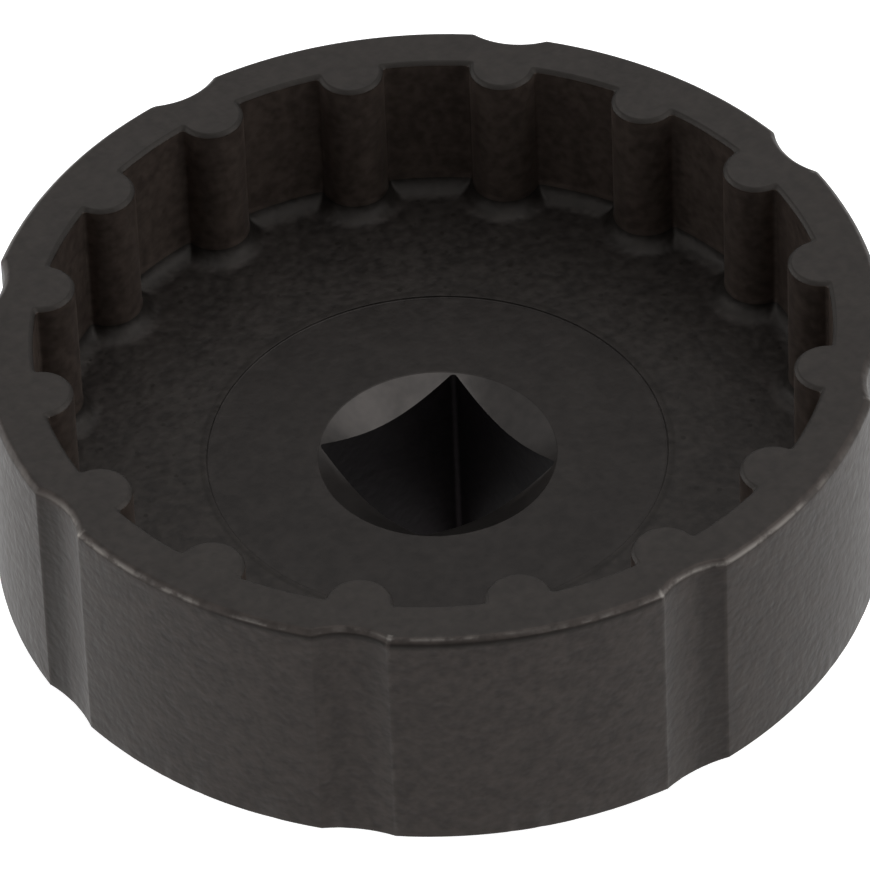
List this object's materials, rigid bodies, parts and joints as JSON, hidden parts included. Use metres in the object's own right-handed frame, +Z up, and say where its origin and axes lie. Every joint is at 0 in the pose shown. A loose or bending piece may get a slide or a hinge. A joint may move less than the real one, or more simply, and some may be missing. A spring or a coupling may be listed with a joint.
{
  "type": "bottom bracket tool",
  "caption": "Steel socket that turns notched bottom bracket cups: a shallow toothed cup with flutes outside, on a round boss with a square drive hole.",
  "frame": {"origin": "centre of the drive end's face, which is the bottom of the boss", "axes": "+Z up the axis from the drive end to the mouth of the toothed cup; X and Y square to the flats of the drive hole"},
  "size_m": [0.0504, 0.0504, 0.0242],
  "materials": {
    "socket_steel": "blasted steel with a matt black oxide coat"
  },
  "bodies": {
    "root": {"socket_body": "socket_steel"}
  },
  "joints": []
}
